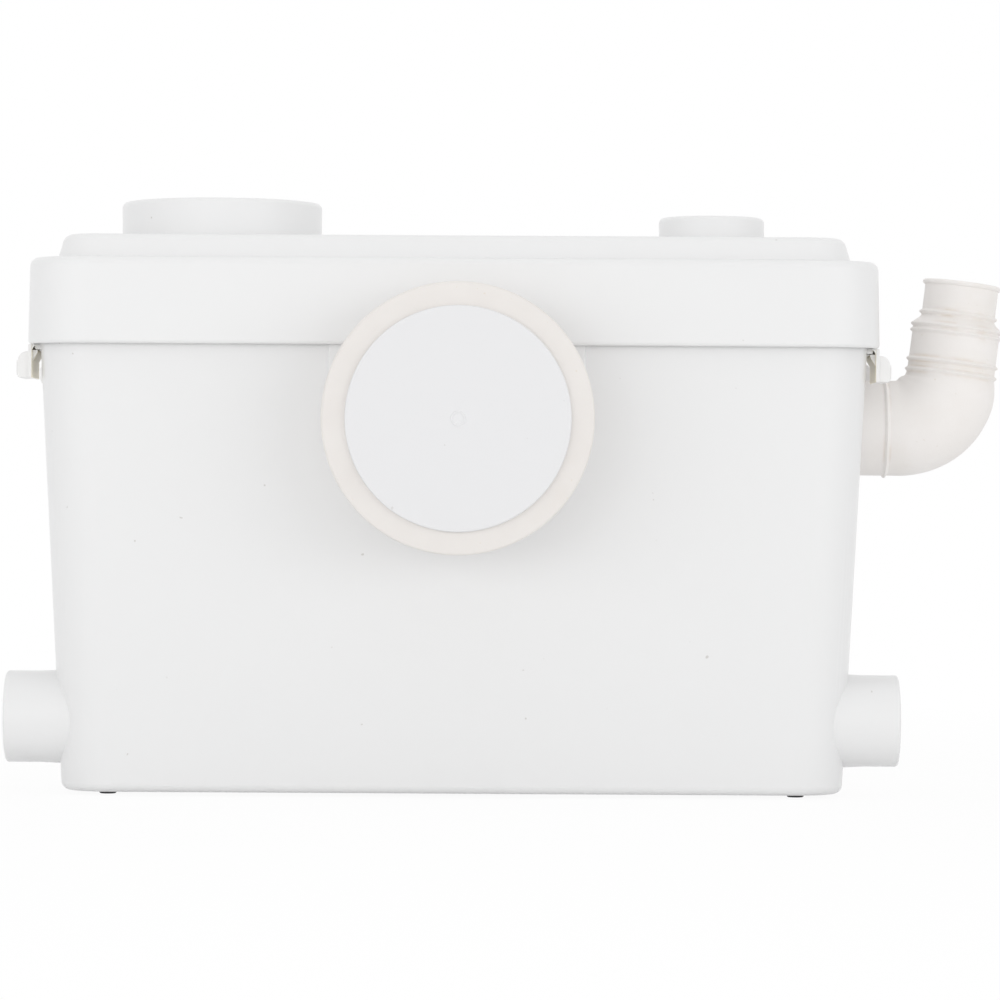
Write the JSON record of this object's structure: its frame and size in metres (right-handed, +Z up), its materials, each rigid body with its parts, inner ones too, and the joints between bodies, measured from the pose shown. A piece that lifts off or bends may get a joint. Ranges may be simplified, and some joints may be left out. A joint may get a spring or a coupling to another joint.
{
  "type": "macerator toilet pump",
  "caption": "Macerator toilet pump: a drafted tank with a clipped lid, rubber pan inlet with blank, side inlets and discharge elbow, with motor, shredder, pump and level switch inside.",
  "frame": {"origin": "middle of the whole part in plan, on the floor that the feet stand on", "axes": "+X along the tank's width towards the discharge elbow, +Y away from the pan inlet, +Z up"},
  "size_m": [0.4395, 0.23, 0.2622],
  "materials": {
    "white_plastic": "moulded gloss",
    "blank_plastic": "moulded satin",
    "cream_rubber": "matte",
    "black_rubber": "matte",
    "grey_plastic": "moulded",
    "black_plastic": "moulded",
    "steel": "turned",
    "copper": "lacquered winding",
    "board": "satin",
    "capacitor_can": "drawn",
    "small_white": "moulded",
    "carbon": "granular"
  },
  "bodies": {
    "housing": {"tank": "white_plastic", "feet": "black_rubber", "lid": "white_plastic", "lid_seal": "black_rubber", "carbon_filter": "carbon", "inlet_collar": "cream_rubber", "waste_chute": "grey_plastic", "left_valve_ring": "grey_plastic", "right_valve_ring": "grey_plastic", "outlet_valve": "grey_plastic", "valve_gasket": "black_rubber", "discharge_pipe": "grey_plastic", "pump_mounts": "black_rubber", "volute": "grey_plastic", "volute_cover": "grey_plastic", "pump_screws": "steel", "seal_seat": "grey_plastic", "basket": "grey_plastic", "motor_flange": "grey_plastic", "motor_can": "steel", "motor_top_cover": "grey_plastic", "motor_boot": "black_rubber", "tie_rods": "steel", "lower_bearing": "steel", "upper_bearing": "steel", "stator_core": "steel", "stator_windings": "copper", "control_box": "grey_plastic", "box_cover": "grey_plastic", "box_screws": "steel", "circuit_board": "board", "capacitor": "capacitor_can", "terminal_block": "small_white", "microswitch": "black_plastic", "dip_tube": "grey_plastic", "membrane": "black_rubber", "membrane_cover": "grey_plastic", "plunger_spring": "steel", "motor_lead": "black_plastic", "cable_gland": "black_plastic", "gland_nut": "black_plastic"},
    "clip_front_left": {"clip_front_left": "white_plastic"},
    "clip_front_right": {"clip_front_right": "white_plastic"},
    "clip_rear_left": {"clip_rear_left": "white_plastic"},
    "clip_rear_right": {"clip_rear_right": "white_plastic"},
    "motor_cap": {"motor_cap": "white_plastic"},
    "vent_cap": {"vent_cap": "white_plastic"},
    "inlet_blank": {"inlet_blank": "blank_plastic"},
    "left_flap": {"left_flap": "black_rubber"},
    "right_flap": {"right_flap": "black_rubber"},
    "check_flap": {"check_flap": "black_rubber"},
    "elbow": {"discharge_elbow": "cream_rubber"},
    "rotor": {"motor_shaft": "steel", "rotor_core": "steel", "cutter": "steel", "impeller": "black_plastic", "impeller_nut": "steel", "seal_ring": "black_rubber"},
    "plunger": {"switch_plunger": "small_white"}
  },
  "joints": [
    {"name": "clip_front_left_flex", "type": "hinge", "parent": "housing", "child": "clip_front_left", "pos_m": [-0.20955, -0.034, 0.199], "axis": [0, 1, 0], "range_deg": [0, 16], "stiffness_Nm_per_rad": 0.6},
    {"name": "clip_front_right_flex", "type": "hinge", "parent": "housing", "child": "clip_front_right", "pos_m": [0.16054, -0.034, 0.199], "axis": [0, -1, 0], "range_deg": [0, 16], "stiffness_Nm_per_rad": 0.6},
    {"name": "clip_rear_left_flex", "type": "hinge", "parent": "housing", "child": "clip_rear_left", "pos_m": [-0.20955, 0.066, 0.199], "axis": [0, 1, 0], "range_deg": [0, 16], "stiffness_Nm_per_rad": 0.6},
    {"name": "clip_rear_right_flex", "type": "hinge", "parent": "housing", "child": "clip_rear_right", "pos_m": [0.16054, 0.066, 0.199], "axis": [0, -1, 0], "range_deg": [0, 16], "stiffness_Nm_per_rad": 0.6},
    {"name": "motor_cap_lift", "type": "slide", "parent": "housing", "child": "motor_cap", "axis": [0, 0, 1], "range_m": [0, 0.03]},
    {"name": "vent_cap_lift", "type": "slide", "parent": "housing", "child": "vent_cap", "axis": [0, 0, 1], "range_m": [0, 0.025]},
    {"name": "inlet_blank_pull", "type": "slide", "parent": "housing", "child": "inlet_blank", "axis": [0, -1, 0], "range_m": [0, 0.15]},
    {"name": "left_flap_swing", "type": "hinge", "parent": "housing", "child": "left_flap", "pos_m": [-0.19203, -0.034, 0.0483], "axis": [0, -1, 0], "range_deg": [0, 45]},
    {"name": "right_flap_swing", "type": "hinge", "parent": "housing", "child": "right_flap", "pos_m": [0.14303, -0.034, 0.0483], "axis": [0, 1, 0], "range_deg": [0, 45]},
    {"name": "check_flap_swing", "type": "hinge", "parent": "housing", "child": "check_flap", "pos_m": [0.12743, 0.016, 0.1747], "axis": [0, -1, 0], "range_deg": [0, 50]},
    {"name": "elbow_swivel", "type": "hinge", "parent": "housing", "child": "elbow", "pos_m": [0.17244, 0.016, 0.1622], "axis": [1, 0, 0], "range_deg": [-90, 90]},
    {"name": "rotor_spin", "type": "hinge", "parent": "housing", "child": "rotor", "pos_m": [-0.1295, 0.016, 0], "axis": [0, 0, 1], "continuous": true},
    {"name": "plunger_rise", "type": "slide", "parent": "housing", "child": "plunger", "axis": [0, 0, 1], "range_m": [0, 0.0025], "stiffness_N_per_m": 300, "springref_m": -0.002, "deforming": ["plunger_spring"]}
  ]
}
